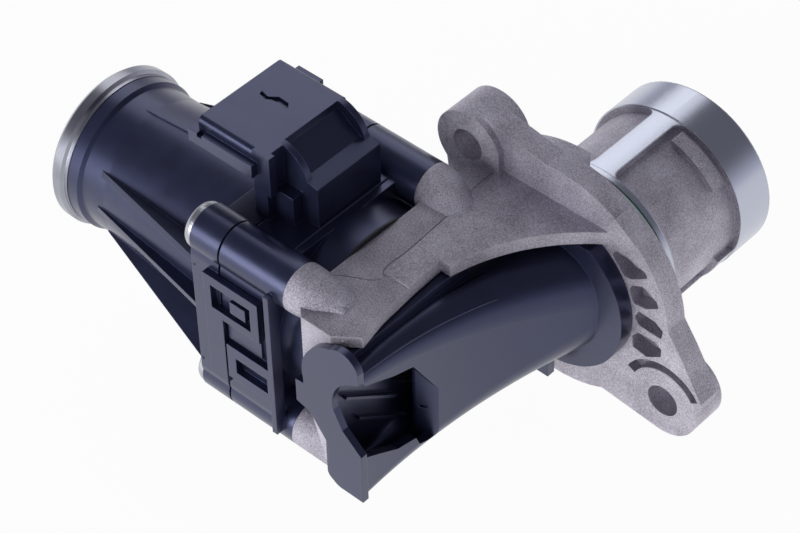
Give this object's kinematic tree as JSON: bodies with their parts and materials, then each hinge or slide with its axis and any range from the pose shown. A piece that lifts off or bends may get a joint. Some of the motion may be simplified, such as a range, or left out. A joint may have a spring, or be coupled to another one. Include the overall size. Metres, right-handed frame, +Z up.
{
  "type": "egr valve",
  "caption": "Electric exhaust gas recirculation valve: cast flange and spigot, plastic mixing duct, motor barrel with gear train that lifts a poppet.",
  "frame": {"origin": "where the spigot axis meets the mating face of the flange", "axes": "+Y out along the spigot, +Z up, actuator axis along X on the -X side"},
  "size_m": [0.1625, 0.1233, 0.086],
  "materials": {
    "cast_aluminium": "as-cast, machined on the seats",
    "housing_plastic": "satin moulded",
    "duct_plastic": "satin moulded",
    "gear_plastic": "natural moulded",
    "turned_steel": "turned",
    "zinc_steel": "zinc plated",
    "bright_steel": "bright rolled",
    "core_steel": "laminated",
    "ferrite": "sintered",
    "copper": "enamelled wire",
    "bronze": "sintered",
    "tinned_brass": "tinned",
    "carbon": "pressed",
    "board_laminate": "lacquered",
    "chip_epoxy": "moulded",
    "green_fkm": "smooth",
    "black_fkm": "smooth"
  },
  "bodies": {
    "housing": {"valve_body": "cast_aluminium", "seat_ring": "turned_steel", "stem_bush": "bronze", "stem_seal": "black_fkm", "guide_sleeve": "turned_steel", "return_spring": "turned_steel", "intermediate_pin": "turned_steel", "gear_housing": "housing_plastic", "motor_housing": "housing_plastic", "housing_gasket": "black_fkm", "body_gasket": "black_fkm", "spigot_o_ring": "green_fkm", "duct_o_ring": "green_fkm", "long_screws": "zinc_steel", "compression_sleeves": "zinc_steel", "end_cap": "bright_steel", "damper_ring": "black_fkm", "motor_can": "zinc_steel", "rear_bearing": "bronze", "front_bearing": "bronze", "magnets": "ferrite", "brush_holder": "housing_plastic", "brushes": "carbon", "brush_springs": "turned_steel", "connector_terminals": "tinned_brass", "sensor_board": "board_laminate", "hall_sensor": "chip_epoxy", "motor_leads": "tinned_brass", "mixing_duct": "duct_plastic"},
    "rotor": {"rotor_shaft": "turned_steel", "rotor_core": "core_steel", "rotor_windings": "copper", "commutator": "copper", "motor_pinion": "bronze"},
    "intermediate": {"intermediate_gear": "gear_plastic"},
    "output": {"output_gear": "gear_plastic", "sensor_magnet": "ferrite"},
    "poppet": {"poppet_valve": "turned_steel", "drive_pin": "turned_steel", "guide_rollers": "turned_steel"}
  },
  "joints": [
    {"name": "rotor_spin", "type": "hinge", "parent": "housing", "child": "rotor", "pos_m": [-0.08, -0.047, 0], "axis": [1, 0, 0], "range_deg": [0, 799.9]},
    {"name": "intermediate_spin", "type": "hinge", "parent": "housing", "child": "intermediate", "pos_m": [-0.053, -0.0327, 0], "axis": [1, 0, 0], "range_deg": [-240, 0]},
    {"name": "output_turn", "type": "hinge", "parent": "housing", "child": "output", "pos_m": [-0.05, -0.047, 0], "axis": [1, 0, 0], "range_deg": [0, 80], "stiffness_Nm_per_rad": 0.02, "springref_deg": -20.05},
    {"name": "poppet_slide", "type": "slide", "parent": "housing", "child": "poppet", "axis": [1, 0, 0], "range_m": [0, 0.006]}
  ],
  "couplings": [
    {"joint": "intermediate_spin", "follows": "rotor_spin", "ratio": -0.3},
    {"joint": "output_turn", "follows": "rotor_spin", "ratio": 0.1},
    {"joint": "poppet_slide", "follows": "rotor_spin", "m_per_rad": 0.00042971}
  ]
}
